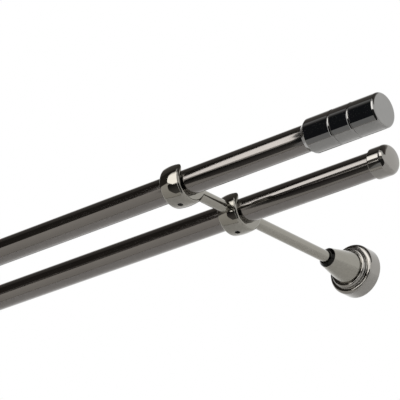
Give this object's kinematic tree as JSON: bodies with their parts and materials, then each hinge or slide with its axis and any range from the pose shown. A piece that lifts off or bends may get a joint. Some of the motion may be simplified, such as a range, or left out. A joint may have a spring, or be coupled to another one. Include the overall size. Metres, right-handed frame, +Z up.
{
  "type": "double curtain pole",
  "caption": "Double curtain pole: parallel round tubes in barrel-shaped cups on round wall arms with stepped roses, grooved cylindrical finials in front and domed caps behind.",
  "frame": {"origin": "centre of the wall face of the right-hand bracket, on the axis of its arm", "axes": "+X along the tubes towards the right-hand end seen from the room, +Y into the wall, +Z up"},
  "size_m": [1.288, 0.2211, 0.0394],
  "materials": {
    "tube": "mirror black nickel plating on drawn steel tube",
    "rod": "black nickel plating, satin to mirror, on steel bar",
    "plated_casting": "mirror black nickel plating on polished castings",
    "finial": "mirror black nickel plating on a turned finial",
    "plate": "zinc-plated steel, hidden under the rose",
    "set_screw": "blackened steel"
  },
  "bodies": {
    "root": {"front_tube": "tube", "rear_tube": "tube", "wall_plate_right": "plate", "wall_rose_right": "plated_casting", "arm_collar_right": "plated_casting", "arm_rod_right": "rod", "link_rod_right": "rod", "rear_cup_right": "plated_casting", "front_cup_right": "plated_casting", "finial_right": "finial", "end_cap_right": "plated_casting", "collar_screw_right": "set_screw", "rear_cup_screw_right": "set_screw", "front_cup_screw_right": "set_screw", "finial_screw_right": "set_screw", "wall_plate_left": "plate", "wall_rose_left": "plated_casting", "arm_collar_left": "plated_casting", "arm_rod_left": "rod", "link_rod_left": "rod", "rear_cup_left": "plated_casting", "front_cup_left": "plated_casting", "finial_left": "finial", "end_cap_left": "plated_casting", "collar_screw_left": "set_screw", "rear_cup_screw_left": "set_screw", "front_cup_screw_left": "set_screw", "finial_screw_left": "set_screw"}
  },
  "joints": []
}
